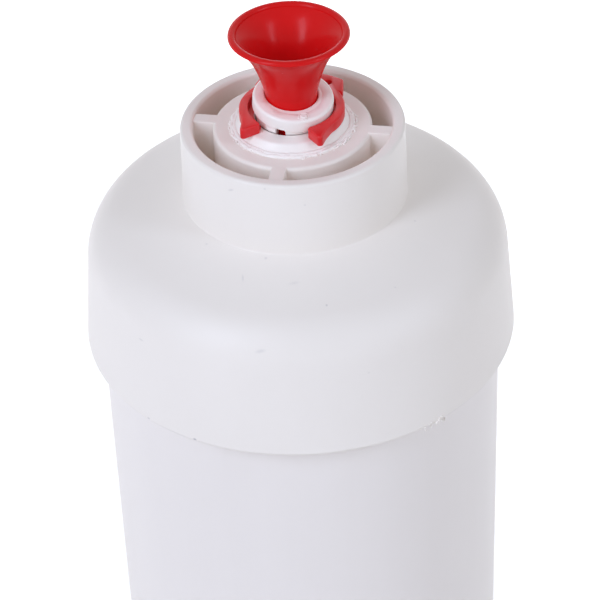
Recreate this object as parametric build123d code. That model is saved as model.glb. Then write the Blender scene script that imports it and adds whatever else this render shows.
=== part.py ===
# Inline mineralizer filter: a white tube closed by two domed end caps, each with a push-fit port
# for quarter-inch pipe that a red trumpet plug and a red locking clip keep shut in transport.
# Millimetres. The origin is on the tube's axis at mid-length and +Z points to the upper port.
# An end is modelled upright with z = 0 at its cap's skirt edge, then placed at the top or turned
# over to the bottom.
import os
from math import cos, radians, sin, tan

from build123d import *

# Cartridge
cartridge_length = 254.0  # collar rim to collar rim
tube_diameter = 50.8
tube_wall = 2.5
weld_gap = 0.05  # between the tube and the cap's socket

# End cap
skirt_depth = 8.0  # how far the tube enters the cap
skirt_wall = 1.95  # at the skirt's edge
skirt_taper = 4.8  # degrees from upright
dome_height = 20.0  # skirt edge to the collar's base
dome_slope = 17.0  # degrees from level
shoulder_round = 6.25
cap_wall = 2.6
chamber_round = 3.0  # inside the shoulder
collar_diameter = 27.74  # at its base
collar_height = 9.85
collar_draft = 1.1  # degrees
collar_wall = 1.55  # at the rim
rim_round = 0.4
boss_diameter = 19.34
boss_drop = 0.31  # boss top below the collar's rim
pocket_depth = 9.3  # from the collar's rim
rib_width = 2.1
rib_count = 4

# Push-fit port
pipe_diameter = 6.35
pipe_gap = 0.225  # round a pipe in its bores
pipe_entry = 3.9  # below the O-ring
flow_bore = 4.6
port_wall = 3.1  # round the pipe bore inside the cap
port_foot_height = 3.4  # below the pipe's stop
insert_diameter = 14.0
insert_gap = 0.05  # round the insert in the boss
insert_depth = 7.5  # below the boss top
insert_rise = 1.31  # above the boss top
insert_top_diameter = 12.7
insert_edge = 0.25
bead_width = 0.7  # weld flash round the insert
bead_height = 0.45
mouth_depth = 2.2
mouth_gap = 0.35  # round the collet's neck
cavity_step = 0.2  # where the gripping cone starts, out from the mouth
cavity_foot_diameter = 11.0
o_ring_section = 1.9
o_ring_seat = 2.2  # height of its groove
o_ring_pinch = 0.125  # O-ring clear of the pipe
o_ring_gap = 0.05  # O-ring clear of its groove

# Collet
collet_lean = 9.0  # degrees, as it sits in the port
collet_low_side = -49.0  # heading of the low side, degrees
collet_heading = 81.0  # heading of one slot, degrees
neck_diameter = 8.4
head_diameter = 9.8
head_height = 2.0
head_top_round = 0.4
head_under_round = 0.55
head_gap = 0.05  # over the clip's inner edge at the low side
flare_width = 0.1  # the mouth's chamfer
sleeve_step = 0.1  # sleeve in from the neck
sleeve_lap = 0.5  # sleeve and neck run into each other
finger_count = 4
slot_width = 1.25
slot_rise = 0.45  # slot runs up into the head
finger_lift = 1.2  # finger ends above the insert's foot
finger_end_diameter = 10.0
finger_end_height = 1.4
finger_ramp = 1.0
tooth_height = 0.4
tooth_lift = 0.55  # above the finger's end
tooth_gap = 0.05
tooth_reach = 0.125  # tooth edge clear of the pipe
tooth_diameter = 8.8
tooth_span = 50.0  # degrees

# Locking clip, laid out with its tab towards +Y
clip_heading = 87.3  # heading of the tab, degrees
clip_thickness = 1.35
clip_gap = 0.05  # over the insert's top
clip_tongue = 0.3  # thickness of the inner edge, which goes under the head
clip_recess = 10.7  # diameter of the step round the head
clip_bore = 9.3
clip_diameter = 12.8
clip_mouth = 6.0
clip_mouth_reach = 4.7  # axis to where the mouth starts to open
clip_lead = 45.0  # degrees, the lead-in's slope
clip_tip_reach = 6.8
clip_tip_width = 9.9  # over both tips
clip_neck_reach = 4.6
clip_neck_width = 10.4  # where the arms are narrowest
clip_tab_width = 10.0  # over both horns
clip_tab_reach = 6.7  # axis to the horns
clip_tab_crown = 7.85  # axis to the middle of the tab's back
clip_waist_reach = 3.9
clip_waist_width = 10.9
clip_corner = 0.4
clip_edge = 0.15
clip_hole = 1.1
clip_hole_offset = 3.25
clip_hole_reach = 5.65

# Transport plug
plug_rise = 12.8  # top of the trumpet above the collar's rim
plug_rim_diameter = 14.55
plug_lip_width = 1.0
plug_lip_height = 0.45
plug_wall = 1.15
plug_flare_low = (8.4, 4.35)  # diameter and drop below the lip
plug_flare_high = (10.34, 2.35)
plug_flare_start = 8.3  # drop of the stem's end below the top
plug_core = 4.0
plug_end = 2.5  # solid end of the stem
plug_chamfer = 0.5
plug_end_gap = 0.4  # over the pipe's stop

# Filling
screen_thickness = 1.5
screen_hole = 4.0
screen_pitch = 8.4
screen_rings = 2
felt_thickness = 4.0
filling_gap = 0.1

# Radii that several pieces share
tube_radius = tube_diameter / 2
bore_radius = tube_radius - tube_wall
collar_radius = collar_diameter / 2
collar_rim_radius = collar_radius - collar_height * tan(radians(collar_draft))
pocket_radius = collar_rim_radius - collar_wall
boss_radius = boss_diameter / 2
pipe_radius = pipe_diameter / 2
pipe_bore_radius = pipe_radius + pipe_gap
insert_radius = insert_diameter / 2
insert_top_radius = insert_top_diameter / 2
o_ring_inner = pipe_radius + o_ring_pinch
groove_radius = o_ring_inner + o_ring_section + o_ring_gap
neck_radius = neck_diameter / 2
mouth_radius = neck_radius + mouth_gap
head_radius = head_diameter / 2
sleeve_radius = neck_radius - sleeve_step
clip_radius = clip_diameter / 2
clip_bore_radius = clip_bore / 2

# Heights in an end's own frame
rim_z = dome_height + collar_height
boss_z = rim_z - boss_drop
pocket_z = rim_z - pocket_depth
screen_z = skirt_depth
shelf_z = skirt_depth + screen_thickness
insert_foot_z = boss_z - insert_depth
insert_z = boss_z + insert_rise
groove_z = insert_foot_z - o_ring_seat
stop_z = groove_z - pipe_entry
port_foot_z = stop_z - port_foot_height
clip_z = insert_z + clip_gap
head_z = clip_z + clip_tongue + head_gap + clip_bore_radius * tan(radians(collet_lean))
head_top_z = head_z + head_height
finger_z = insert_foot_z + finger_lift
plug_z = rim_z + plug_rise
end_z = cartridge_length / 2 - rim_z  # the skirt's edge in the part's frame


def revolved(edges):
    return revolve(Plane.XZ * make_face(edges), Axis.Z)


def turned(corners):
    # Each corner is radius, height and, where it is rounded, its fillet.
    points = [corner[:2] for corner in corners]
    rounds = [corner[2] if len(corner) > 2 else 0 for corner in corners]
    return revolved(FilletPolyline(*points, radius=rounds, close=True).edges())


def block(width, near, far, low, high):
    # A bar along +X from near to far.
    bar = Box(far - near, width, high - low, align=(Align.MIN, Align.CENTER, Align.MIN))
    return Pos(near, 0, low) * bar


def around(count, shape, heading=0.0):
    return [Rot(0, 0, heading + 360 / count * step) * shape for step in range(count)]


def end_cap():
    socket = tube_radius + weld_gap
    skirt_edge = tube_radius + skirt_wall
    lean = tan(radians(skirt_taper))
    fall = tan(radians(dome_slope))
    # The skirt's line and the dome's line meet at the shoulder.
    shoulder_z = (dome_height - fall * (skirt_edge - collar_radius)) / (1 - fall * lean)
    shoulder = skirt_edge - lean * shoulder_z
    dome_wall = cap_wall / cos(radians(dome_slope))
    ceiling_z = pocket_z - cap_wall
    ceiling_edge = collar_radius + (dome_height - dome_wall - ceiling_z) / fall
    chamber_z = ceiling_z - fall * (bore_radius - ceiling_edge)
    cap = turned([
        (socket, 0),
        (skirt_edge, 0),
        (shoulder, shoulder_z, shoulder_round),
        (collar_radius, dome_height),
        (collar_rim_radius, rim_z, rim_round),
        (pocket_radius, rim_z, rim_round),
        (pocket_radius, pocket_z),
        (boss_radius, pocket_z),
        (boss_radius, boss_z, rim_round),
        (insert_radius + insert_gap, boss_z),
        (insert_radius + insert_gap, insert_foot_z),
        (groove_radius, insert_foot_z),
        (groove_radius, groove_z),
        (pipe_bore_radius, groove_z),
        (pipe_bore_radius, stop_z),
        (flow_bore / 2, stop_z),
        (flow_bore / 2, port_foot_z),
        (pipe_bore_radius + port_wall, port_foot_z),
        (pipe_bore_radius + port_wall, ceiling_z),
        (ceiling_edge, ceiling_z),
        (bore_radius, chamber_z, chamber_round),
        (bore_radius, shelf_z),
        (socket, shelf_z),
    ])
    rib = block(rib_width, boss_radius - rim_round, pocket_radius + rim_round, pocket_z - rim_round, boss_z)
    return cap + around(rib_count, rib)


def port_insert():
    return turned([
        (mouth_radius, insert_z, insert_edge),
        (insert_top_radius, insert_z, insert_edge),
        (insert_radius, boss_z + bead_height),
        (insert_radius + bead_width, boss_z + bead_height, bead_height / 2),
        (insert_radius + bead_width, boss_z),
        (insert_radius, boss_z),
        (insert_radius, insert_foot_z),
        (cavity_foot_diameter / 2, insert_foot_z),
        (mouth_radius + cavity_step, insert_z - mouth_depth),
        (mouth_radius, insert_z - mouth_depth),
    ])


def collet():
    # The head and neck lean; the fingers bend and stay upright in the insert.
    head = turned([
        (pipe_bore_radius, insert_z - sleeve_lap),
        (neck_radius, insert_z - sleeve_lap),
        (neck_radius, head_z),
        (head_radius, head_z, head_under_round),
        (head_radius, head_top_z, head_top_round),
        (pipe_bore_radius + flare_width, head_top_z),
        (pipe_bore_radius, head_top_z - flare_width),
    ])
    head -= around(
        finger_count,
        block(slot_width, 0, head_diameter, insert_z - 2 * sleeve_lap, head_z + slot_rise),
        collet_heading,
    )
    low = radians(collet_low_side)
    hinge = Axis((0, 0, insert_z), (-sin(low), cos(low), 0))
    tooth_z = finger_z + tooth_lift
    sleeve = turned([
        (pipe_bore_radius, finger_z),
        (finger_end_diameter / 2, finger_z),
        (finger_end_diameter / 2, finger_z + finger_end_height),
        (sleeve_radius, finger_z + finger_end_height + finger_ramp),
        (sleeve_radius, insert_z + sleeve_lap),
        (pipe_bore_radius, insert_z + sleeve_lap),
        (pipe_bore_radius, tooth_z + tooth_height + tooth_gap),
        (tooth_diameter / 2 + tooth_gap, tooth_z + tooth_height + tooth_gap),
        (tooth_diameter / 2 + tooth_gap, tooth_z - tooth_gap),
        (pipe_bore_radius, tooth_z - tooth_gap),
    ])
    sleeve -= around(
        finger_count,
        block(slot_width, 0, finger_end_diameter, finger_z - sleeve_lap, insert_z + 2 * sleeve_lap),
        collet_heading,
    )
    bore_height = head_top_z - finger_z
    bore = Cylinder(pipe_bore_radius, 2 * bore_height)
    return head.rotate(hinge, collet_lean) + sleeve - Pos(0, 0, head_top_z) * bore


def grip_teeth():
    tooth_z = finger_z + tooth_lift
    edge = pipe_radius + tooth_reach
    blank = Circle(tooth_diameter / 2) - Circle(edge)
    half = tan(radians(tooth_span / 2)) * tooth_diameter
    wedge = Polygon((0, 0), (tooth_diameter, half), (tooth_diameter, -half), align=None)
    tooth = Pos(0, 0, tooth_z) * extrude(blank & wedge, tooth_height)
    return Compound(around(finger_count, tooth, collet_heading + 180 / finger_count))


def o_ring():
    centre = o_ring_inner + o_ring_section / 2
    return Pos(0, 0, (groove_z + insert_foot_z) / 2) * Torus(centre, o_ring_section / 2)


def locking_clip():
    lead_depth = clip_tip_reach - clip_mouth_reach
    mouth = clip_mouth / 2
    lead = mouth + lead_depth / tan(radians(clip_lead))
    half_tab = clip_tab_width / 2
    half_waist = clip_waist_width / 2
    half_neck = clip_neck_width / 2
    half_tip = clip_tip_width / 2
    back = ThreePointArc((half_tab, clip_tab_reach), (0, clip_tab_crown), (-half_tab, clip_tab_reach))
    sides = Polyline(
        (-half_tab, clip_tab_reach),
        (-half_waist, clip_waist_reach),
        (half_waist, clip_waist_reach),
        (half_tab, clip_tab_reach),
    )
    tab = make_face(back.edges() + sides.edges())
    arms = Polygon(
        (clip_radius, 0),
        (-clip_radius, 0),
        (-half_neck, -clip_neck_reach),
        (-half_tip, -clip_tip_reach),
        (half_tip, -clip_tip_reach),
        (half_neck, -clip_neck_reach),
        align=None,
    )
    opening = Polygon(
        (mouth, 0),
        (-mouth, 0),
        (-mouth, -clip_mouth_reach),
        (-lead, -clip_tip_reach),
        (lead, -clip_tip_reach),
        (mouth, -clip_mouth_reach),
        align=None,
    )
    outline = Circle(clip_radius) + tab + arms - opening - Circle(clip_bore_radius)
    for side in (1, -1):
        outline -= Pos(side * clip_hole_offset, clip_hole_reach) * Circle(clip_hole / 2)
    corners = outline.vertices().sort_by(lambda corner: corner.center().length)[-4:]
    outline = fillet(corners, clip_corner)
    clip = extrude(outline, clip_thickness)
    clip = chamfer(clip.faces().sort_by(Axis.Z)[-1].outer_wire().edges(), clip_edge)
    # The inner edge is thin, so the head sinks between the arms.
    recess = Cylinder(clip_recess / 2, clip_thickness, align=(Align.CENTER, Align.CENTER, Align.MIN))
    clip -= Pos(0, 0, clip_tongue) * recess
    return Pos(0, 0, clip_z) * Rot(0, 0, clip_heading - 90) * clip


def transport_plug():
    foot_z = stop_z + plug_end_gap
    lip_z = plug_z - plug_lip_height
    rim = plug_rim_diameter / 2
    core = plug_core / 2
    stem_z = plug_z - plug_flare_start
    low, low_drop = plug_flare_low
    high, high_drop = plug_flare_high
    flare = [(low / 2, lip_z - low_drop), (high / 2, lip_z - high_drop)]
    funnel = [(radius - plug_wall, z) for radius, z in flare]
    throat = rim - plug_lip_width
    stem = Polyline(
        (core, stem_z),
        (core, foot_z + plug_end),
        (0, foot_z + plug_end),
        (0, foot_z),
        (pipe_radius - plug_chamfer, foot_z),
        (pipe_radius, foot_z + plug_chamfer),
        (pipe_radius, stem_z),
    )
    outside = Spline((pipe_radius, stem_z), *flare, (rim, lip_z))
    lip = ThreePointArc((rim, lip_z), (rim - plug_lip_width / 2, plug_z), (throat, lip_z))
    inside = Spline((throat, lip_z), *reversed(funnel), (core, stem_z))
    return revolved(stem.edges() + outside.edges() + lip.edges() + inside.edges())


def screen():
    plate = Cylinder(tube_radius - weld_gap, screen_thickness, align=(Align.CENTER, Align.CENTER, Align.MIN))
    hole = Cylinder(screen_hole / 2, 4 * screen_thickness)
    row_height = screen_pitch * sin(radians(60))
    holes = []
    for row in range(-screen_rings, screen_rings + 1):
        in_row = 2 * screen_rings + 1 - abs(row)
        for column in range(in_row):
            holes.append(Pos((column - (in_row - 1) / 2) * screen_pitch, row * row_height) * hole)
    return Pos(0, 0, screen_z) * (plate - holes)


def felt_pad():
    pad = Cylinder(bore_radius - filling_gap, felt_thickness, align=(Align.CENTER, Align.CENTER, Align.MAX))
    return Pos(0, 0, screen_z) * pad


def housing_tube():
    outside = Cylinder(tube_radius, 2 * (end_z + screen_z))
    return outside - Cylinder(bore_radius, 2 * (end_z + screen_z))


def mineral_bed():
    return Cylinder(bore_radius - filling_gap, 2 * (end_z + screen_z - felt_thickness))


ends = {
    "end_cap": end_cap(),
    "port_insert": port_insert(),
    "collet": collet(),
    "grip_teeth": grip_teeth(),
    "o_ring": o_ring(),
    "locking_clip": locking_clip(),
    "transport_plug": transport_plug(),
    "screen": screen(),
    "felt_pad": felt_pad(),
}
nodes = {"housing_tube": housing_tube(), "mineral_bed": mineral_bed()}
for name, piece in ends.items():
    nodes["upper_" + name] = Pos(0, 0, end_z) * piece
    nodes["lower_" + name] = Rot(180, 0, 0) * Pos(0, 0, end_z) * piece

os.makedirs("parts", exist_ok=True)
for name, piece in nodes.items():
    export_step(piece, f"parts/{name}.step")
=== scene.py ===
import math

import bmesh
import bpy
import numpy as np
from mathutils import Matrix, Vector


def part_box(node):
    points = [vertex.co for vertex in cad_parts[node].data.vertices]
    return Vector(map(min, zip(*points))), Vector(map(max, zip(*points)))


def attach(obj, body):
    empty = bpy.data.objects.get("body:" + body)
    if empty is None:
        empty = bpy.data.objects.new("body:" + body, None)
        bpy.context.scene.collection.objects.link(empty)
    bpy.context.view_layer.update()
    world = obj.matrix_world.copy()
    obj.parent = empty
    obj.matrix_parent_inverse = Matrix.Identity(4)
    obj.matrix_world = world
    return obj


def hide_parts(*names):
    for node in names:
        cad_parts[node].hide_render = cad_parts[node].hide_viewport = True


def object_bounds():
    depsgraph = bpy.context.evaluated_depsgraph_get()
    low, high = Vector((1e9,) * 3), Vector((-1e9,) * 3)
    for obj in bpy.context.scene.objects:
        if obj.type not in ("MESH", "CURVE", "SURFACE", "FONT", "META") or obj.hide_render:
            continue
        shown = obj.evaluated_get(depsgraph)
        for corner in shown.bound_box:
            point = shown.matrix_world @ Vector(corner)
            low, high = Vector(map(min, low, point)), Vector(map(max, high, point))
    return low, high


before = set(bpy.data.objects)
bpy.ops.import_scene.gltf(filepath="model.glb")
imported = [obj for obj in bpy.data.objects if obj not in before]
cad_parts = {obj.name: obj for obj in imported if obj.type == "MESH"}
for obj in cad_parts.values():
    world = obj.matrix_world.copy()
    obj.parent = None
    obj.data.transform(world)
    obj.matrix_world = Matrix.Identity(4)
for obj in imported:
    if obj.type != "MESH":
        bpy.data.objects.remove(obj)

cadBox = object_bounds()
mm = 0.001  # sizes are written in millimetres
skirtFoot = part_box("upper_end_cap")[0].z / mm  # heights on an end are counted from its cap's edge
endTurn = {"upper": Matrix.Identity(4), "lower": Matrix.Rotation(math.pi, 4, "X")}


# Small tools

meshing = {
    "sharpDegrees": 32,  # edges that turn more than this stay crisp
    "arcDegrees": 7.5,  # longest step along a fillet
    "joinPoles": 1e-7, "joinCopy": 2e-6,  # points nearer than this become one, metres
    "flatDegrees": 0.3,  # facets of a copied piece that turn less than this are one face
    "bevelSteps": 2,
}
noiseReach = {"From Min": 0.3, "From Max": 0.7}  # where most of a noise texture's values lie


def hexColor(code):
    # From sRGB to linear.
    parts = [int(code[i:i + 2], 16) / 255 for i in (1, 3, 5)]
    return [part / 12.92 if part <= 0.04045 else ((part + 0.055) / 1.055) ** 2.4 for part in parts] + [1.0]


def addNode(tree, kind, values=None, links=None, **settings):
    node = tree.nodes.new(kind)
    for key, setting in settings.items():
        setattr(node, key, setting)
    for socket, value in (values or {}).items():
        node.inputs[socket].default_value = value
    for socket, source in (links or {}).items():
        tree.links.new(source, node.inputs[socket])
    return node


def addObject(name, mesh):
    piece = bpy.data.objects.new(name, mesh)
    bpy.context.scene.collection.objects.link(piece)
    return piece


def bakeModifiers(piece):
    # The evaluated shape becomes a plain mesh.
    graph = bpy.context.evaluated_depsgraph_get()
    mesh = bpy.data.meshes.new_from_object(piece.evaluated_get(graph), depsgraph=graph)
    piece.modifiers.clear()
    piece.data = mesh
    mesh.name = piece.name
    return piece


def shadeSmooth(mesh, sharpDegrees=meshing["sharpDegrees"]):
    mesh.shade_smooth()
    mesh.set_sharp_from_angle(angle=math.radians(sharpDegrees))


def roundCorners(corners):
    # Each corner of the closed outline is radius, height and, where it is rounded, its fillet.
    outline = []
    for i, corner in enumerate(corners):
        here = Vector(corner[:2])
        fillet = corner[2] if len(corner) > 2 else 0
        if not fillet:
            outline.append(here)
            continue
        before = (Vector(corners[i - 1][:2]) - here).normalized()
        after = (Vector(corners[(i + 1) % len(corners)][:2]) - here).normalized()
        half = before.angle(after) / 2
        centre = here + (before + after).normalized() * fillet / math.sin(half)
        start = here + before * fillet / math.tan(half) - centre
        end = here + after * fillet / math.tan(half) - centre
        steps = max(2, math.ceil(math.degrees(math.pi - 2 * half) / meshing["arcDegrees"]))
        # slerp gives unit vectors, so the fillet's radius is put back
        outline += [centre + start.slerp(end, step / steps) * fillet for step in range(steps + 1)]
    return outline


def cubicThrough(points, steps):
    # One cubic through four points, spaced along it by their distances.
    points = np.array(points, float)
    along = np.concatenate([[0], np.cumsum(np.linalg.norm(np.diff(points, axis=0), axis=1))])
    fits = [np.polyfit(along, column, 3) for column in points.T]
    return [Vector([np.polyval(fit, s) for fit in fits]) for s in np.linspace(0, along[-1], steps + 1)]


def spinMesh(name, outline, segments):
    # A closed outline of radii and heights in millimetres, turned about the axis.
    mesh = bpy.data.meshes.new(name)
    bm = bmesh.new()
    rings = []
    for segment in range(segments):
        angle = 2 * math.pi * segment / segments
        turn = Vector((math.cos(angle), math.sin(angle)))
        rings.append([
            bm.verts.new((spot.x * mm * turn.x, spot.x * mm * turn.y, spot.y * mm)) for spot in outline
        ])
    for ring, following in zip(rings, rings[1:] + rings[:1]):
        for i in range(len(outline)):
            bm.faces.new((ring[i - 1], ring[i], following[i], following[i - 1]))
    bmesh.ops.remove_doubles(bm, verts=bm.verts, dist=meshing["joinPoles"])
    bmesh.ops.recalc_face_normals(bm, faces=bm.faces)
    bm.to_mesh(mesh)
    bm.free()
    shadeSmooth(mesh)
    return mesh


def growMesh(name, tree, sizes):
    piece = addObject(name, bpy.data.meshes.new(name))
    modifier = piece.modifiers.new("grow", "NODES")
    modifier.node_group = tree
    for item in tree.interface.items_tree:
        if item.name in sizes:
            modifier[item.identifier] = sizes[item.name]
    return bakeModifiers(piece)


def cadCopy(name, node, edge, sharpDegrees=meshing["sharpDegrees"]):
    # The node's own faces, merged and with their edges broken.
    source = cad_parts[node].data
    mesh = bpy.data.meshes.new(name)
    mesh.from_pydata([v.co for v in source.vertices], [], [list(p.vertices) for p in source.polygons])
    bm = bmesh.new()
    bm.from_mesh(mesh)
    flat = math.radians(meshing["flatDegrees"])
    bmesh.ops.remove_doubles(bm, verts=bm.verts, dist=meshing["joinCopy"])
    bmesh.ops.dissolve_limit(bm, angle_limit=flat, verts=bm.verts, edges=bm.edges)
    bm.to_mesh(mesh)
    bm.free()
    piece = addObject(name, mesh)
    bevel = piece.modifiers.new("edges", "BEVEL")
    bevel.limit_method = "ANGLE"
    bevel.angle_limit = math.radians(sharpDegrees)
    bevel.width = edge * mm
    bevel.segments = meshing["bevelSteps"]
    bakeModifiers(piece)
    shadeSmooth(piece.data, sharpDegrees)
    return piece


def seat(piece, end):
    # From an end's own heights to its place on the cartridge.
    piece.data.transform(endTurn[end] @ Matrix.Translation((0, 0, skirtFoot * mm)))
    return piece


def dress(piece, body, slot, material, *nodes):
    piece.data.materials.clear()
    piece.data.materials.append(material)
    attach(piece, body)
    if nodes:
        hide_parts(*nodes)


# Camera, at the photograph's angle

view = {
    "azimuth": 11.0,
    "elevation": 37.573,
    "distance": 315.8,  # mm
    "targetHeight": 99.7,
    "roll": 2.431,
    "lens": 148.17,
    "sensor": 36.0,
    "clipStart": 0.01,  # metres
}


def addCamera():
    azimuth, elevation, roll = (math.radians(view[key]) for key in ("azimuth", "elevation", "roll"))
    level = Vector((math.sin(azimuth), -math.cos(azimuth), 0)) * math.cos(elevation)
    back = level + Vector((0, 0, math.sin(elevation)))
    target = Vector((0, 0, view["targetHeight"] * mm))
    side = Vector((0, 0, 1)).cross(back).normalized()
    up = back.cross(side)
    right = side * math.cos(roll) - up * math.sin(roll)
    top = up * math.cos(roll) + side * math.sin(roll)
    data = bpy.data.cameras.new("photoCamera")
    data.lens = view["lens"]
    data.sensor_width = view["sensor"]
    data.sensor_fit = "HORIZONTAL"
    data.clip_start = view["clipStart"]
    camera = bpy.data.objects.new("photoCamera", data)
    bpy.context.scene.collection.objects.link(camera)
    camera.matrix_world = Matrix.Translation(target + back * view["distance"] * mm) @ Matrix(
        (right, top, back)).transposed().to_4x4()
    bpy.context.scene.camera = camera


addCamera()
print("camera set")


# Materials

def startMaterial(name, look):
    material = bpy.data.materials.new(name)
    material.use_nodes = True
    tree = material.node_tree
    shader = tree.nodes["Principled BSDF"]
    for socket, value in look["shader"].items():
        shader.inputs[socket].default_value = value
    place = addNode(tree, "ShaderNodeTexCoord").outputs["Object"]
    return material, tree, shader, place


def mouldedPlastic(name, look):
    # Drifting tone from the melt, a soft skin texture, and the look's listed patches: marks where the
    # moulding was handled, and painted shade.
    material, tree, shader, place = startMaterial(name, look)
    stretched = addNode(
        tree, "ShaderNodeMapping", {"Scale": look.get("stretch", (1, 1, 1))}, {"Vector": place},
    )
    cloud = addNode(
        tree, "ShaderNodeTexNoise",
        {"Scale": 1 / (look["cloudMm"] * mm), "Detail": 3.0, "Roughness": 0.55},
        {"Vector": stretched.outputs[0]},
    )
    color = addNode(
        tree, "ShaderNodeMix",
        {6: hexColor(look["color"]), 7: hexColor(look["shade"])},
        {0: cloud.outputs["Fac"]}, data_type="RGBA",
    ).outputs[2]
    skin = addNode(
        tree, "ShaderNodeTexNoise",
        {"Scale": 1 / (look["skinMm"] * mm), "Detail": 2.0},
        {"Vector": stretched.outputs[0]},
    )
    gloss = addNode(
        tree, "ShaderNodeMapRange",
        {**noiseReach, "To Min": look["gloss"][0], "To Max": look["gloss"][1]},
        {"Value": cloud.outputs["Fac"]},
    )
    height = skin.outputs["Fac"]
    # Each listed patch pulls the colour toward the mark grey and dents the skin: handling marks, and
    # painted shade along the skirt's edge.
    for mark in look.get("marksAndShade", []):
        spot = markAndShadeMask(tree, place, mark)
        color = addNode(
            tree, "ShaderNodeMix", {7: hexColor(look["markAndShadeColor"])}, {0: spot, 6: color}, data_type="RGBA",
        ).outputs[2]
        height = addNode(tree, "ShaderNodeMath", {}, {0: height, 1: spot}, operation="SUBTRACT").outputs[0]
    bump = addNode(
        tree, "ShaderNodeBump",
        {"Strength": 1.0, "Distance": look["skinDepthMm"] * mm}, {"Height": height},
    )
    tree.links.new(color, shader.inputs["Base Color"])
    tree.links.new(gloss.outputs[0], shader.inputs["Roughness"])
    tree.links.new(bump.outputs[0], shader.inputs["Normal"])
    return material


def markAndShadeMask(tree, place, mark):
    # An oval patch on the skin, deepest in the middle; it serves the handling marks and the painted shade
    # alike.
    face, heading, height, radius, length, width, slant, strength = mark
    angle = math.radians(heading)
    centre = Vector((radius * math.cos(angle), radius * math.sin(angle), skirtFoot + height)) * mm
    oval = addNode(
        tree, "ShaderNodeMapping",
        {
            "Location": centre,
            "Rotation": (math.radians(slant), -math.radians(faceTilt[face]), angle),
            "Scale": (markDepth * mm, length / 2 * mm, width / 2 * mm),
        },
        {"Vector": place}, vector_type="TEXTURE",
    )
    reach = addNode(tree, "ShaderNodeVectorMath", {}, {0: oval.outputs[0]}, operation="LENGTH")
    return addNode(
        tree, "ShaderNodeMapRange",
        {"From Min": 1.0, "From Max": 0.0, "To Min": 0.0, "To Max": strength},
        {"Value": reach.outputs["Value"]}, interpolation_type="SMOOTHSTEP",
    ).outputs[0]


faceTilt = {"dome": 73.0, "skirt": 4.8, "collar": 1.1}  # how far each face of the cap looks up, degrees
markDepth = 0.9  # how far a mark reaches into the plastic, mm

# Injection-moulded polypropylene: a warm, milky white with a soft sheen, marked by handling, with painted
# shade along the skirt's edge.
capPolypropylene = {
    "color": "#F7F1EB", "shade": "#F3EDE7",
    "shader": {"IOR": 1.49, "Specular IOR Level": 0.35},
    "gloss": (0.40, 0.47),
    "cloudMm": 16.0,
    "skinMm": 0.9, "skinDepthMm": 0.012,  # drawn coarser than the real skin, to show
    # grey of the handling marks, and of the painted shade along the skirt's edge
    "markAndShadeColor": "#B9B5B8",
    "marksAndShade": [  # face, heading, height, radius, length, width, slant, strength
        ("skirt", -89.9, 14.62, 25.9, 2.0, 0.7, 14, 0.35),
        ("skirt", -125.8, 11.46, 26.3, 1.2, 0.4, 0, 0.3),
        ("dome", -101.1, 18.82, 17.7, 0.35, 1.6, 22, 0.3),
        ("dome", -70.6, 17.72, 21.2, 0.4, 0.5, 0, 0.5),
        ("dome", -81.0, 18.8, 17.8, 2.0, 0.7, 10, 0.15),
        ("dome", -94.4, 19.81, 14.5, 0.6, 0.6, 0, 0.3),
        ("dome", -125.5, 19.63, 15.1, 0.5, 0.5, 0, 0.25),
        ("dome", -46.9, 17.69, 21.3, 0.45, 0.45, 0, 0.2),
        ("dome", -15.2, 19.34, 16.0, 0.5, 0.5, 0, 0.25),
        ("skirt", -62.0, 10.78, 26.4, 0.45, 0.4, 0, 0.2),
        ("collar", -112.6, 28.12, 13.7, 1.3, 0.45, 25, 0.3),
        ("collar", -94.1, 29.31, 13.7, 0.45, 0.45, 0, 0.25),
        ("collar", -74.6, 27.11, 13.73, 0.4, 0.4, 0, 0.25),
        ("skirt", -108.4, 0.3, 27.3, 0.7, 0.6, 0, 0.9),  # from here on, darker spots and lines along the skirt's edge; the long lines are painted shade where the seam's shadow falls
        ("skirt", -107.2, 0.1, 27.3, 0.4, 0.4, 0, 0.6),
        ("skirt", -123.3, 0.35, 27.3, 0.7, 0.4, 0, 0.6),
        ("skirt", -130.0, 0.12, 27.25, 9.0, 0.4, 0, 0.55),
        ("skirt", -116.0, 0.12, 27.25, 9.0, 0.4, 0, 0.5),
        ("skirt", -36.0, 0.12, 27.25, 8.0, 0.4, 0, 0.7),
        ("skirt", -27.0, 0.12, 27.25, 8.0, 0.4, 0, 0.7),
    ],
}
# Extruded polypropylene: the same white, drawn lengthwise, with faint lines along the tube.
tubePolypropylene = {
    "color": "#F3EDE9", "shade": "#EFE9E5",
    "shader": {"IOR": 1.49, "Specular IOR Level": 0.35},
    "gloss": (0.36, 0.44),
    "cloudMm": 6.0,
    "skinMm": 0.7, "skinDepthMm": 0.008,
    "stretch": (1, 1, 0.04),
}
# Moulded acetal: a cleaner, denser white with a smoother skin.
whiteAcetal = {
    "color": "#FCF8F5", "shade": "#F8F4F1",
    "shader": {"IOR": 1.48},
    "gloss": (0.30, 0.38),
    "cloudMm": 5.0,
    "skinMm": 0.5, "skinDepthMm": 0.006,
}
# Dyed acetal: deep red, glossy, a little cloudy where the dye drifted.
redAcetal = {
    "color": "#DF181A", "shade": "#D61416",
    "shader": {"IOR": 1.48, "Specular IOR Level": 0.14},
    "gloss": (0.21, 0.28),
    "cloudMm": 4.0,
    "skinMm": 0.6, "skinDepthMm": 0.006,
}
# Dyed acetal again, but a snap-in clip with a duller, paler skin.
clipAcetal = {
    **redAcetal,
    "color": "#E3262B", "shade": "#DB2126",
    "shader": {"IOR": 1.48, "Specular IOR Level": 0.34},
    "gloss": (0.3, 0.38),
}
# Moulded EPDM: near-black, dull, slightly bloomed.
epdmRubber = {
    "color": "#1B1B1C", "shade": "#262627",
    "shader": {"IOR": 1.52},
    "gloss": (0.55, 0.68),
    "cloudMm": 2.0,
    "skinMm": 0.2, "skinDepthMm": 0.01,
}

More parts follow.
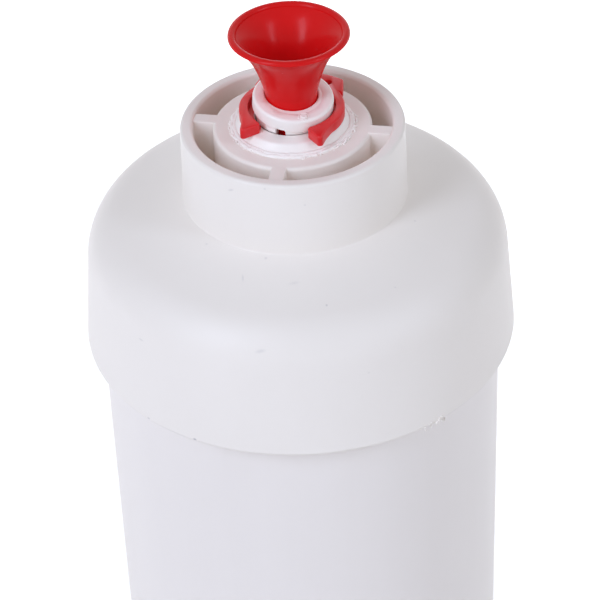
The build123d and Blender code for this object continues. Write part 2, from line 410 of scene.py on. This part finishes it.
capWhite = mouldedPlastic("mouldedPolypropylene", capPolypropylene)
tubeWhite = mouldedPlastic("extrudedPolypropylene", tubePolypropylene)
fittingWhite = mouldedPlastic("whiteAcetal", whiteAcetal)
red = mouldedPlastic("redAcetal", redAcetal)
clipRed = mouldedPlastic("satinRedAcetal", clipAcetal)
rubber = mouldedPlastic("epdmRubber", epdmRubber)


def springSteel():
    # Stamped strip: grey metal with fine rolling lines.
    look = {
        "color": "#C2C3C5", "shade": "#AFB0B3",
        "shader": {"Metallic": 1.0},
        "gloss": (0.25, 0.36),
        "lineMm": 0.08, "waver": 2.0,
    }
    material, tree, shader, place = startMaterial("springSteel", look)
    lines = addNode(
        tree, "ShaderNodeTexWave",
        {"Scale": 1 / (look["lineMm"] * mm * 2 * math.pi), "Distortion": look["waver"]}, {"Vector": place},
    )
    gray = addNode(
        tree, "ShaderNodeMix", {6: hexColor(look["color"]), 7: hexColor(look["shade"])},
        {0: lines.outputs["Fac"]}, data_type="RGBA",
    )
    polish = addNode(
        tree, "ShaderNodeMapRange", {"To Min": look["gloss"][0], "To Max": look["gloss"][1]},
        {"Value": lines.outputs["Fac"]},
    )
    tree.links.new(gray.outputs[2], shader.inputs["Base Color"])
    tree.links.new(polish.outputs[0], shader.inputs["Roughness"])
    return material


def pressedFelt():
    # Pressed polyester felt: matted short fibres, fuzzy at the edge.
    look = {
        "color": "#DAD7CF", "shade": "#F0EEE9",
        "shader": {"Roughness": 0.95, "Sheen Weight": 0.3},
        "fibreMm": 0.35, "fibreDepthMm": 0.12,
    }
    material, tree, shader, place = startMaterial("pressedFelt", look)
    fibres = addNode(
        tree, "ShaderNodeTexNoise",
        {"Scale": 1 / (look["fibreMm"] * mm), "Detail": 6.0, "Roughness": 0.7, "Distortion": 1.5},
        {"Vector": place},
    )
    tint = addNode(
        tree, "ShaderNodeMix", {6: hexColor(look["color"]), 7: hexColor(look["shade"])},
        {0: fibres.outputs["Fac"]}, data_type="RGBA",
    )
    bump = addNode(
        tree, "ShaderNodeBump", {"Distance": look["fibreDepthMm"] * mm}, {"Height": fibres.outputs["Fac"]},
    )
    tree.links.new(tint.outputs[2], shader.inputs["Base Color"])
    tree.links.new(bump.outputs[0], shader.inputs["Normal"])
    return material


def mineralGranules():
    # Crushed calcite and magnesia: pale, chalky grains with dark gaps.
    look = {
        "color": "#B9AB94", "shade": "#EAE4D6",
        "shader": {"Roughness": 0.85},
        "grainMm": 1.8, "gapDepthMm": 0.6,
    }
    material, tree, shader, place = startMaterial("mineralGranules", look)
    grains = addNode(tree, "ShaderNodeTexVoronoi", {"Scale": 1 / (look["grainMm"] * mm)}, {"Vector": place})
    tone = addNode(tree, "ShaderNodeSeparateColor", {}, {"Color": grains.outputs["Color"]})
    stone = addNode(
        tree, "ShaderNodeMix", {6: hexColor(look["color"]), 7: hexColor(look["shade"])},
        {0: tone.outputs[0]}, data_type="RGBA",
    )
    bump = addNode(
        tree, "ShaderNodeBump", {"Distance": look["gapDepthMm"] * mm},
        {"Height": grains.outputs["Distance"]}, invert=True,
    )
    tree.links.new(stone.outputs[2], shader.inputs["Base Color"])
    tree.links.new(bump.outputs[0], shader.inputs["Normal"])
    return material


steel = springSteel()
felt = pressedFelt()
granules = mineralGranules()
print("materials made")


# Tube and what fills it

tubeSizes = {"radius": 25.4, "wall": 2.5, "endChamfer": 0.4, "segments": 256}


def addTube():
    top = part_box("housing_tube")[1].z / mm
    outside, cut = tubeSizes["radius"], tubeSizes["endChamfer"]
    bore = outside - tubeSizes["wall"]
    outline = roundCorners([
        (outside, -top + cut), (outside, top - cut), (outside - cut, top), (bore, top),
        (bore, -top), (outside - cut, -top),
    ])
    tube = addObject("tube_shell", spinMesh("tube_shell", outline, tubeSizes["segments"]))
    dress(tube, "cartridge", "housing_plastic", tubeWhite, "housing_tube")


addTube()
innerFinishes = {
    "mineral_bed": granules, "felt_pad": felt, "screen": capWhite, "o_ring": rubber, "grip_teeth": steel,
}
for ending, material in innerFinishes.items():
    for name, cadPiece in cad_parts.items():
        if name.endswith(ending):
            for holder in cadPiece.material_slots:
                holder.material = material
print("tube and filling dressed")


# End cap: domed shell with its collar, boss and ribs

capSizes = {
    "socket": 25.45,
    "skirt": 27.35, "skirtTaper": 4.8, "skirtRound": 0.34,
    "domeTop": 20.0, "domeSlope": 17.0, "shoulderRound": 6.25,
    "collar": 13.87, "collarHeight": 9.85, "collarDraft": 1.1, "collarWall": 1.55, "rimRound": 0.45,
    "footRound": 0.22,
    "pocketFloor": 20.55, "boss": 9.67, "bossTop": 29.54,
    "seat": 7.05, "seatFloor": 22.04,
    "groove": 5.25, "grooveFloor": 19.84,
    "pipeBore": 3.4, "pipeStop": 15.94, "flowBore": 2.3, "portFoot": 12.54, "portWall": 3.1,
    "wall": 2.6, "chamber": 22.9, "chamberRound": 3.0, "shelf": 9.5,
    "segments": 256,
}
ribSizes = {"Count": 4, "Width": 1.8 * mm, "Edge": 0.14 * mm}
ribSharpDegrees = 15  # keeps the ribs' flat faces flat


def addCap(end):
    sizes = capSizes
    lean = math.tan(math.radians(sizes["skirtTaper"]))
    fall = math.tan(math.radians(sizes["domeSlope"]))
    rimTop = sizes["domeTop"] + sizes["collarHeight"]
    rim = sizes["collar"] - sizes["collarHeight"] * math.tan(math.radians(sizes["collarDraft"]))
    pocket = rim - sizes["collarWall"]
    shoulderTop = (sizes["domeTop"] - fall * (sizes["skirt"] - sizes["collar"])) / (1 - fall * lean)
    ceiling = sizes["pocketFloor"] - sizes["wall"]
    domeWall = sizes["wall"] / math.cos(math.radians(sizes["domeSlope"]))
    ceilingEdge = sizes["collar"] + (sizes["domeTop"] - domeWall - ceiling) / fall
    chamberTop = ceiling - fall * (sizes["chamber"] - ceilingEdge)
    outline = roundCorners([
        (sizes["socket"], 0),
        (sizes["skirt"], 0, sizes["skirtRound"]),
        (sizes["skirt"] - lean * shoulderTop, shoulderTop, sizes["shoulderRound"]),
        (sizes["collar"], sizes["domeTop"], sizes["footRound"]),
        (rim, rimTop, sizes["rimRound"]),
        (pocket, rimTop, sizes["rimRound"]),
        (pocket, sizes["pocketFloor"]),
        (sizes["boss"], sizes["pocketFloor"]),
        (sizes["boss"], sizes["bossTop"], sizes["rimRound"]),
        (sizes["seat"], sizes["bossTop"]),
        (sizes["seat"], sizes["seatFloor"]),
        (sizes["groove"], sizes["seatFloor"]),
        (sizes["groove"], sizes["grooveFloor"]),
        (sizes["pipeBore"], sizes["grooveFloor"]),
        (sizes["pipeBore"], sizes["pipeStop"]),
        (sizes["flowBore"], sizes["pipeStop"]),
        (sizes["flowBore"], sizes["portFoot"]),
        (sizes["pipeBore"] + sizes["portWall"], sizes["portFoot"]),
        (sizes["pipeBore"] + sizes["portWall"], ceiling),
        (ceilingEdge, ceiling),
        (sizes["chamber"], chamberTop, sizes["chamberRound"]),
        (sizes["chamber"], sizes["shelf"]),
        (sizes["socket"], sizes["shelf"]),
    ])
    cap = addObject(end + "_cap_shell", spinMesh(end + "_cap_shell", outline, sizes["segments"]))
    dress(seat(cap, end), "cartridge", "housing_plastic", capWhite, end + "_end_cap")
    ribs = growMesh(end + "_cap_ribs", ribTree, {
        **ribSizes,
        "Inner": (sizes["boss"] - sizes["rimRound"]) * mm,
        "Outer": (pocket + sizes["rimRound"]) * mm,
        "Foot": (sizes["pocketFloor"] - sizes["rimRound"]) * mm,
        "Top": sizes["bossTop"] * mm,
        "Plastic": capWhite,
    })
    shadeSmooth(ribs.data, ribSharpDegrees)
    dress(seat(ribs, end), "cartridge", "housing_plastic", capWhite)


def startTree(name, inputs):
    tree = bpy.data.node_groups.new(name, "GeometryNodeTree")
    tree.interface.new_socket("Geometry", in_out="OUTPUT", socket_type="NodeSocketGeometry")
    for label, kind in inputs.items():
        tree.interface.new_socket(label, in_out="INPUT", socket_type="NodeSocket" + kind)
    given = tree.nodes.new("NodeGroupInput").outputs
    return tree, given


def endTree(tree, shape, plastic):
    smooth = addNode(tree, "GeometryNodeSetShadeSmooth", {}, {"Geometry": shape})
    real = addNode(tree, "GeometryNodeRealizeInstances", {}, {"Geometry": smooth.outputs[0]})
    finish = addNode(
        tree, "GeometryNodeSetMaterial", {}, {"Geometry": real.outputs[0], "Material": plastic},
    )
    addNode(tree, "NodeGroupOutput", {}, {0: finish.outputs[0]})
    return tree


def makeRibTree():
    # A bar with rounded edges from boss to collar, turned round the axis.
    tree, given = startTree("capRibs", {
        "Count": "Int", "Width": "Float", "Edge": "Float", "Inner": "Float", "Outer": "Float",
        "Foot": "Float", "Top": "Float", "Plastic": "Material",
    })
    tall = addNode(tree, "ShaderNodeMath", {}, {0: given["Top"], 1: given["Foot"]}, operation="SUBTRACT")
    both = addNode(tree, "ShaderNodeMath", {}, {0: given["Top"], 1: given["Foot"]}, operation="ADD")
    middle = addNode(tree, "ShaderNodeMath", {1: 0.5}, {0: both.outputs[0]}, operation="MULTIPLY")
    near = addNode(tree, "ShaderNodeCombineXYZ", {}, {"X": given["Inner"], "Z": middle.outputs[0]})
    far = addNode(tree, "ShaderNodeCombineXYZ", {}, {"X": given["Outer"], "Z": middle.outputs[0]})
    path = addNode(
        tree, "GeometryNodeCurvePrimitiveLine", {}, {"Start": near.outputs[0], "End": far.outputs[0]},
    )
    section = addNode(
        tree, "GeometryNodeCurvePrimitiveQuadrilateral", {},
        {"Width": given["Width"], "Height": tall.outputs[0]},
    )
    rounded = addNode(
        tree, "GeometryNodeFilletCurve", {"Count": 4},
        {"Curve": section.outputs[0], "Radius": given["Edge"]}, mode="POLY",
    )
    bar = addNode(
        tree, "GeometryNodeCurveToMesh", {"Fill Caps": True},
        {"Curve": path.outputs[0], "Profile Curve": rounded.outputs[0]},
    )
    spots = addNode(tree, "GeometryNodePoints", {}, {"Count": given["Count"]})
    step = addNode(tree, "ShaderNodeMath", {0: 2 * math.pi}, {1: given["Count"]}, operation="DIVIDE")
    index = addNode(tree, "GeometryNodeInputIndex")
    angle = addNode(
        tree, "ShaderNodeMath", {}, {0: index.outputs[0], 1: step.outputs[0]}, operation="MULTIPLY",
    )
    turn = addNode(tree, "ShaderNodeCombineXYZ", {}, {"Z": angle.outputs[0]})
    bars = addNode(
        tree, "GeometryNodeInstanceOnPoints", {},
        {"Points": spots.outputs[0], "Instance": bar.outputs[0], "Rotation": turn.outputs[0]},
    )
    return endTree(tree, bars.outputs[0], given["Plastic"])


flashDetail = {
    "ringSteps": 540, "stringSides": 10,
    "thinnest": 0.45, "thickest": 1.25,  # shares of a string's thickness
    "arcSteps": 32, "crumbSubdivisions": 2,
    "leastCrumb": (0.5, 0.5, 0.4), "mostCrumb": (1.3, 1.1, 0.9),  # shares of a crumb's size
}


def makeRaggedRingTree():
    # A ring of flash: a round string whose line and thickness wander.
    tree, given = startTree("raggedRing", {
        "Radius": "Float", "Height": "Float", "Thickness": "Float", "Wander": "Float", "Lump": "Float",
        "Seed": "Float", "Plastic": "Material",
    })
    ring = addNode(
        tree, "GeometryNodeCurvePrimitiveCircle", {"Resolution": flashDetail["ringSteps"]},
        {"Radius": given["Radius"]}, mode="RADIUS",
    )
    place = addNode(tree, "GeometryNodeInputPosition")
    often = addNode(tree, "ShaderNodeMath", {0: 1.0}, {1: given["Lump"]}, operation="DIVIDE")
    noise = addNode(
        tree, "ShaderNodeTexNoise", {"Detail": 2.0},
        {"Vector": place.outputs[0], "W": given["Seed"], "Scale": often.outputs[0]}, noise_dimensions="4D",
    )
    centred = addNode(
        tree, "ShaderNodeVectorMath", {1: (0.5, 0.5, 0.5)}, {0: noise.outputs["Color"]},
        operation="SUBTRACT",
    )
    shift = addNode(
        tree, "ShaderNodeVectorMath", {}, {0: centred.outputs[0], "Scale": given["Wander"]},
        operation="SCALE",
    )
    wavy = addNode(
        tree, "GeometryNodeSetPosition", {}, {"Geometry": ring.outputs[0], "Offset": shift.outputs[0]},
    )
    girth = addNode(
        tree, "ShaderNodeMapRange",
        {**noiseReach, "To Min": flashDetail["thinnest"], "To Max": flashDetail["thickest"]},
        {"Value": noise.outputs["Fac"]},
    )
    lumpy = addNode(
        tree, "GeometryNodeSetCurveRadius", {}, {"Curve": wavy.outputs[0], "Radius": girth.outputs[0]},
    )
    section = addNode(
        tree, "GeometryNodeCurvePrimitiveCircle", {"Resolution": flashDetail["stringSides"]},
        {"Radius": given["Thickness"]}, mode="RADIUS",
    )
    string = addNode(
        tree, "GeometryNodeCurveToMesh", {},
        {"Curve": lumpy.outputs[0], "Profile Curve": section.outputs[0]},
    )
    lift = addNode(tree, "ShaderNodeCombineXYZ", {}, {"Z": given["Height"]})
    raised = addNode(
        tree, "GeometryNodeTransform", {}, {"Geometry": string.outputs[0], "Translation": lift.outputs[0]},
    )
    return endTree(tree, raised.outputs[0], given["Plastic"])


def makeCrumbTree():
    # Torn crumbs of flash strewn along an arc.
    tree, given = startTree("flashCrumbs", {
        "Radius": "Float", "Height": "Float", "Heading": "Float", "Sweep": "Float", "Count": "Int",
        "Size": "Float", "Scatter": "Float", "Seed": "Int", "Plastic": "Material",
    })
    arc = addNode(
        tree, "GeometryNodeCurveArc", {"Resolution": flashDetail["arcSteps"]},
        {"Radius": given["Radius"], "Start Angle": given["Heading"], "Sweep Angle": given["Sweep"]},
        mode="RADIUS",
    )
    spots = addNode(
        tree, "GeometryNodeCurveToPoints", {}, {"Curve": arc.outputs[0], "Count": given["Count"]},
        mode="COUNT",
    )
    stray = addNode(
        tree, "FunctionNodeRandomValue", {0: (-0.5, -0.5, -0.5), 1: (0.5, 0.5, 0.5)},
        {"Seed": given["Seed"]}, data_type="FLOAT_VECTOR",
    )
    shift = addNode(
        tree, "ShaderNodeVectorMath", {}, {0: stray.outputs[0], "Scale": given["Scatter"]},
        operation="SCALE",
    )
    strewn = addNode(
        tree, "GeometryNodeSetPosition", {}, {"Geometry": spots.outputs[0], "Offset": shift.outputs[0]},
    )
    crumb = addNode(
        tree, "GeometryNodeMeshIcoSphere", {"Subdivisions": flashDetail["crumbSubdivisions"]},
        {"Radius": given["Size"]},
    )
    squash = addNode(
        tree, "FunctionNodeRandomValue", {0: flashDetail["leastCrumb"], 1: flashDetail["mostCrumb"]},
        {"Seed": given["Seed"]}, data_type="FLOAT_VECTOR",
    )
    tumble = addNode(
        tree, "FunctionNodeRandomValue", {0: (-1.5, -1.5, -1.5), 1: (1.5, 1.5, 1.5)},
        {"Seed": given["Seed"]}, data_type="FLOAT_VECTOR",
    )
    crumbs = addNode(
        tree, "GeometryNodeInstanceOnPoints", {},
        {
            "Points": strewn.outputs[0], "Instance": crumb.outputs[0],
            "Rotation": tumble.outputs[0], "Scale": squash.outputs[0],
        },
    )
    lift = addNode(tree, "ShaderNodeCombineXYZ", {}, {"Z": given["Height"]})
    raised = addNode(
        tree, "GeometryNodeTransform", {}, {"Geometry": crumbs.outputs[0], "Translation": lift.outputs[0]},
    )
    return endTree(tree, raised.outputs[0], given["Plastic"])


ribTree = makeRibTree()
raggedRingTree = makeRaggedRingTree()
crumbTree = makeCrumbTree()

skirtFlash = {
    "Radius": 26.8 * mm, "Height": -0.1 * mm, "Thickness": 0.2 * mm, "Wander": 0.32 * mm, "Lump": 1.3 * mm,
    "Seed": 3.0,
}
skirtBurr = {
    "Radius": 27.28 * mm, "Height": 0.1 * mm, "Heading": math.radians(-47.6), "Sweep": math.radians(6.8),
    "Count": 34, "Size": 0.17 * mm, "Scatter": 0.75 * mm, "Seed": 5,
}


def addSeam(end):
    # Flash squeezed out at the skirt's edge when the cap was spun on, with one torn burr.
    flash = growMesh(end + "_seam_flash", raggedRingTree, {**skirtFlash, "Plastic": capWhite})
    dress(seat(flash, end), "cartridge", "housing_plastic", capWhite)
    burr = growMesh(end + "_seam_burr", crumbTree, {**skirtBurr, "Plastic": capWhite})
    dress(seat(burr, end), "cartridge", "housing_plastic", capWhite)


# Push-fit port: insert with its weld bead, collet, clip and plug

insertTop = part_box("upper_port_insert")[1].z / mm - skirtFoot
plugFoot, plugTop = (corner.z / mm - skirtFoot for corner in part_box("upper_transport_plug"))
insertSizes = {
    "mouth": 4.42, "mouthRound": 0.2, "radius": 7.0, "top": 6.35, "topRound": 0.45, "wallTop": 29.75,
    "foot": 22.04, "cavityFoot": 5.5, "cavityStep": 0.2, "mouthDepth": 2.2, "segments": 160,
}
weldBeads = {
    "weld_bead": {
        "Radius": 7.04 * mm, "Height": 29.68 * mm, "Thickness": 0.3 * mm, "Wander": 0.3 * mm,
        "Lump": 1.1 * mm, "Seed": 2.0,
    },
    "weld_flash": {
        "Radius": 7.34 * mm, "Height": 29.58 * mm, "Thickness": 0.27 * mm, "Wander": 0.5 * mm,
        "Lump": 1.0 * mm, "Seed": 8.0,
    },
}
beadCrumbs = {"Radius": 7.66 * mm, "Height": 29.58 * mm, "Size": 0.16 * mm, "Scatter": 0.3 * mm}
crumbArcs = [(-178, 60, 30), (-72, 18, 10), (-40, 62, 30)]  # heading, sweep in degrees, and how many
plugSizes = {
    "stem": 3.175, "core": 2.0, "coreRound": 0.4, "endThickness": 2.5, "endRound": 0.5,
    "rim": 7.275, "lipWidth": 1.0, "lipHeight": 0.45, "wall": 1.15,
    "flareLow": (4.2, 4.35), "flareHigh": (5.17, 2.35),  # radius and drop below the lip
    "flareStart": 8.3, "flareSteps": 40, "lipPoints": 13,
    "segments": 160,
}


def addInsert(end):
    sizes = insertSizes
    neck = insertTop - sizes["mouthDepth"]
    outline = roundCorners([
        (sizes["mouth"], insertTop, sizes["mouthRound"]),
        (sizes["top"], insertTop, sizes["topRound"]),
        (sizes["radius"], sizes["wallTop"]),
        (sizes["radius"], sizes["foot"]),
        (sizes["cavityFoot"], sizes["foot"]),
        (sizes["mouth"] + sizes["cavityStep"], neck),
        (sizes["mouth"], neck),
    ])
    insert = addObject(end + "_insert_body", spinMesh(end + "_insert_body", outline, sizes["segments"]))
    dress(seat(insert, end), "cartridge", "fitting_plastic", fittingWhite, end + "_port_insert")
    for name, beadSizes in weldBeads.items():
        bead = growMesh(f"{end}_{name}", raggedRingTree, {**beadSizes, "Plastic": fittingWhite})
        dress(seat(bead, end), "cartridge", "fitting_plastic", fittingWhite)
    for i, (heading, sweep, count) in enumerate(crumbArcs):
        crumbs = growMesh(f"{end}_bead_crumbs_{i}", crumbTree, {
            **beadCrumbs, "Heading": math.radians(heading), "Sweep": math.radians(sweep), "Count": count,
            "Seed": i, "Plastic": fittingWhite,
        })
        dress(seat(crumbs, end), "cartridge", "fitting_plastic", fittingWhite)


def addPlug(end):
    sizes = plugSizes
    lipFoot = plugTop - sizes["lipHeight"]
    stemTop = plugTop - sizes["flareStart"]
    bell = [(radius, lipFoot - drop) for radius, drop in (sizes["flareLow"], sizes["flareHigh"])]
    throat = sizes["rim"] - sizes["lipWidth"]
    funnel = [(radius - sizes["wall"], height) for radius, height in bell]
    steps = sizes["flareSteps"]
    outside = cubicThrough([(sizes["stem"], stemTop), *bell, (sizes["rim"], lipFoot)], steps)
    inside = cubicThrough([(throat, lipFoot), *reversed(funnel), (sizes["core"], stemTop)], steps)
    half = sizes["lipWidth"] / 2
    crown = sizes["rim"] - half
    lip = [
        Vector((crown + half * math.cos(angle), lipFoot + sizes["lipHeight"] * math.sin(angle)))
        for angle in np.linspace(0, math.pi, sizes["lipPoints"])
    ]
    coreFoot = plugFoot + sizes["endThickness"]
    base = roundCorners([
        (sizes["core"], coreFoot, sizes["coreRound"]), (0, coreFoot), (0, plugFoot),
        (sizes["stem"], plugFoot, sizes["endRound"]), (sizes["stem"], stemTop), (sizes["core"], stemTop),
    ])[:-1]
    outline = base + outside[1:] + lip[1:] + inside[1:]
    plug = addObject(end + "_plug_body", spinMesh(end + "_plug_body", outline, sizes["segments"]))
    dress(seat(plug, end), end + "_plug", "red_plastic", red, end + "_transport_plug")


colletSizes = {
    "edge": 0.08, "sharpDegrees": 50,  # leaves the head's own rounds smooth
    "lean": 9.0, "lowSide": -49.0, "headTop": 3.14,  # above the insert, along the leaned axis
    "gateHeading": -63.0, "gateReach": 4.08, "gateSunk": 0.15, "gateSegments": 48,
    "gateRadius": 0.42, "gateHeight": 0.2, "gateRound": 0.1,
    "ringIn": 0.55, "ringOut": 0.68, "ringHeight": 0.09, "ringRound": 0.04, "ringFloor": 0.03,
    "lipBore": 3.225, "lipEdge": 3.44, "lipDepth": 0.2, "lipOut": 4.0, "lipSunk": 0.015, "lipFoot": 1.2,
    "lipPoints": 9, "lipSegments": 96,
    "skirtIn": 4.15, "skirtOut": 4.36, "skirtTop": 1.2,
    "slots": 4, "slotHeading": 81.0, "slotWidth": 1.25, "steps": 24,
}
clipEdge = 0.1


def leanedHeight(spot, height):
    # Height over the insert on a plane that leans with the collet's head.
    sizes = colletSizes
    low = math.radians(sizes["lowSide"])
    fall = math.tan(math.radians(sizes["lean"])) * (spot.x * math.cos(low) + spot.y * math.sin(low))
    return insertTop + height - fall


def makeColletLip():
    # Rounded inner edge of the head, close round the plug and upright like the bore.
    sizes = colletSizes
    reach = sizes["lipEdge"] - sizes["lipBore"]
    edge = [
        Vector((sizes["lipEdge"] - reach * math.sin(angle), sizes["lipDepth"] * (math.cos(angle) - 1)))
        for angle in np.linspace(0, math.pi / 2, sizes["lipPoints"])
    ]
    foot = -sizes["lipFoot"]
    corners = ((sizes["lipBore"], foot), (sizes["lipOut"], foot), (sizes["lipOut"], 0))
    outline = edge + [Vector(corner) for corner in corners]
    mesh = spinMesh("collet_lip", outline, sizes["lipSegments"])
    headTop = sizes["headTop"] / math.cos(math.radians(sizes["lean"])) - sizes["lipSunk"]
    for vertex in mesh.vertices:
        vertex.co.z += leanedHeight(vertex.co / mm, headTop) * mm
    return mesh


def makeColletSkirt():
    # What shows of the neck under the head, cut by the slots between the fingers.
    sizes = colletSizes
    mesh = bpy.data.meshes.new("collet_skirt")
    bm = bmesh.new()
    half = math.asin(sizes["slotWidth"] / 2 / sizes["skirtOut"])
    span = 2 * math.pi / sizes["slots"]
    for finger in range(sizes["slots"]):
        begin = math.radians(sizes["slotHeading"]) + finger * span
        rings = []
        for angle in np.linspace(begin + half, begin + span - half, sizes["steps"] + 1):
            turn = Vector((math.cos(angle), math.sin(angle), 0))
            inside, outside = turn * sizes["skirtIn"], turn * sizes["skirtOut"]
            rings.append([bm.verts.new(Vector((spot.x, spot.y, z)) * mm) for spot, z in (
                (inside, insertTop), (outside, insertTop),
                (outside, leanedHeight(outside, sizes["skirtTop"])),
                (inside, leanedHeight(inside, sizes["skirtTop"])),
            )])
        for ring, following in zip(rings, rings[1:]):
            for i in range(len(ring)):
                bm.faces.new((ring[i - 1], ring[i], following[i], following[i - 1]))
        bm.faces.new(rings[0])
        bm.faces.new(rings[-1])
    bmesh.ops.recalc_face_normals(bm, faces=bm.faces)
    bm.to_mesh(mesh)
    bm.free()
    shadeSmooth(mesh)
    return mesh


def makeColletGate():
    # Gate stub left on the head's top by the mould, inside the ring of its gate pin.
    sizes = colletSizes
    outline = roundCorners([
        (0, sizes["gateHeight"]),
        (sizes["gateRadius"], sizes["gateHeight"], sizes["gateRound"]),
        (sizes["gateRadius"], -sizes["ringFloor"]),
        (sizes["ringIn"], -sizes["ringFloor"]),
        (sizes["ringIn"], sizes["ringHeight"], sizes["ringRound"]),
        (sizes["ringOut"], sizes["ringHeight"], sizes["ringRound"]),
        (sizes["ringOut"], -sizes["gateSunk"]),
        (0, -sizes["gateSunk"]),
    ])
    mesh = spinMesh("collet_gate", outline, sizes["gateSegments"])
    low = math.radians(sizes["lowSide"])
    lean = Matrix.Rotation(math.radians(sizes["lean"]), 4, (-math.sin(low), math.cos(low), 0))
    turn = Matrix.Rotation(math.radians(sizes["gateHeading"]), 4, "Z")
    spot = Matrix.Translation(Vector((sizes["gateReach"], 0, sizes["headTop"])) * mm)
    mesh.transform(Matrix.Translation((0, 0, insertTop * mm)) @ lean @ turn @ spot)
    return mesh


def addColletAndClip(end):
    edge, sharpDegrees = colletSizes["edge"], colletSizes["sharpDegrees"]
    collet = cadCopy(end + "_collet_body", end + "_collet", edge, sharpDegrees)
    dress(collet, "cartridge", "fitting_plastic", fittingWhite, end + "_collet")
    for name, mesh in (("lip", makeColletLip()), ("skirt", makeColletSkirt()), ("gate", makeColletGate())):
        detail = addObject(f"{end}_collet_{name}", mesh)
        dress(seat(detail, end), "cartridge", "fitting_plastic", fittingWhite)
    clip = cadCopy(end + "_clip_body", end + "_locking_clip", clipEdge)
    dress(clip, end + "_clip", "red_plastic", clipRed, end + "_locking_clip")


for end in endTurn:
    addCap(end)
    addSeam(end)
    addInsert(end)
    addPlug(end)
    addColletAndClip(end)
    print(end, "end built")


# Floor, light and background

studio = {
    "floor": "#F2F2F3", "floorRoughness": 0.9, "floorRadius": 4.0, "floorSegments": 128,
    "floorDrop": 0.021,  # room for the lower plug to come out
    "floorGlow": 0.2, "floorNear": 0.05, "floorFar": 0.6,  # least glow near the part, plain white far off
    "sky": "#FBFAFD", "horizonLevel": 0.67, "zenithLevel": 0.28,
    "diffuseBounces": 12,  # white hollows need more than the usual few
    "lamps": [  # azimuth from the camera's, elevation, distance, width, height, watts, colour
        (-46, 34, 1.1, 0.28, 0.9, 6.4, "#DCE6FB"),
        (57, 32, 1.2, 0.2, 0.8, 3.3, "#DCE7FB"),
        (180, 8, 1.3, 0.6, 0.5, 2.2, "#E6EAFB"),
    ],
}


def seenDirectly(tree):
    # 1 for rays that show the background: camera, mirror and glass.
    path = addNode(tree, "ShaderNodeLightPath")
    shiny = addNode(
        tree, "ShaderNodeMath", {},
        {0: path.outputs["Is Camera Ray"], 1: path.outputs["Is Glossy Ray"]}, operation="MAXIMUM",
    )
    return addNode(
        tree, "ShaderNodeMath", {},
        {0: shiny.outputs[0], 1: path.outputs["Is Transmission Ray"]}, operation="MAXIMUM",
    ).outputs[0]


def addFloor():
    mesh = bpy.data.meshes.new("floor")
    bm = bmesh.new()
    segments, radius = studio["floorSegments"], studio["floorRadius"]
    bmesh.ops.create_circle(bm, cap_ends=True, segments=segments, radius=radius)
    bmesh.ops.translate(bm, verts=bm.verts, vec=(0, 0, cadBox[0].z - studio["floorDrop"]))
    bm.to_mesh(mesh)
    bm.free()
    floor = addObject("floor", mesh)
    material = bpy.data.materials.new("paperFloor")
    material.use_nodes = True
    tree = material.node_tree
    shader = tree.nodes["Principled BSDF"]
    shader.inputs["Base Color"].default_value = hexColor(studio["floor"])
    shader.inputs["Roughness"].default_value = studio["floorRoughness"]
    shader.inputs["Emission Color"].default_value = (1, 1, 1, 1)
    place = addNode(tree, "ShaderNodeTexCoord")
    reach = addNode(tree, "ShaderNodeVectorMath", {}, {0: place.outputs["Object"]}, operation="LENGTH")
    fade = addNode(
        tree, "ShaderNodeMapRange",
        {"From Min": studio["floorNear"], "From Max": studio["floorFar"], "To Min": studio["floorGlow"]},
        {"Value": reach.outputs["Value"]},
    )
    glow = addNode(
        tree, "ShaderNodeMath", {}, {0: seenDirectly(tree), 1: fade.outputs[0]}, operation="MULTIPLY",
    )
    tree.links.new(glow.outputs[0], shader.inputs["Emission Strength"])
    mesh.materials.append(material)


def addSky():
    world = bpy.data.worlds.new("studioSky")
    world.use_nodes = True
    tree = world.node_tree
    sky = tree.nodes["Background"]
    sky.inputs["Color"].default_value = hexColor(studio["sky"])
    aim = addNode(tree, "ShaderNodeTexCoord")
    height = addNode(tree, "ShaderNodeSeparateXYZ", {}, {0: aim.outputs["Generated"]})
    fade = addNode(
        tree, "ShaderNodeMapRange", {"To Min": studio["horizonLevel"], "To Max": studio["zenithLevel"]},
        {"Value": height.outputs["Z"]},
    )
    tree.links.new(fade.outputs[0], sky.inputs["Strength"])
    white = addNode(tree, "ShaderNodeBackground", {"Color": (1, 1, 1, 1), "Strength": 1.0})
    both = addNode(
        tree, "ShaderNodeMixShader", {},
        {0: seenDirectly(tree), 1: sky.outputs[0], 2: white.outputs[0]},
    )
    tree.links.new(both.outputs[0], tree.nodes["World Output"].inputs["Surface"])
    bpy.context.scene.world = world


def addLamps():
    target = Vector((0, 0, view["targetHeight"] * mm))
    for i, (azimuth, elevation, distance, width, height, watts, tint) in enumerate(studio["lamps"]):
        data = bpy.data.lights.new(f"softBox{i}", "AREA")
        data.shape = "RECTANGLE"
        data.size, data.size_y = width, height
        data.energy = watts
        data.color = hexColor(tint)[:3]
        around = math.radians(view["azimuth"] + azimuth)
        up = math.radians(elevation)
        away = Vector((math.sin(around) * math.cos(up), -math.cos(around) * math.cos(up), math.sin(up)))
        lamp = bpy.data.objects.new(data.name, data)
        lamp.location = target + away * distance
        lamp.rotation_euler = away.to_track_quat("Z", "Y").to_euler()
        bpy.context.scene.collection.objects.link(lamp)


addFloor()
addSky()
addLamps()
bpy.context.scene.view_settings.view_transform = "Standard"
bpy.context.scene.cycles.diffuse_bounces = studio["diffuseBounces"]
print("studio lit")
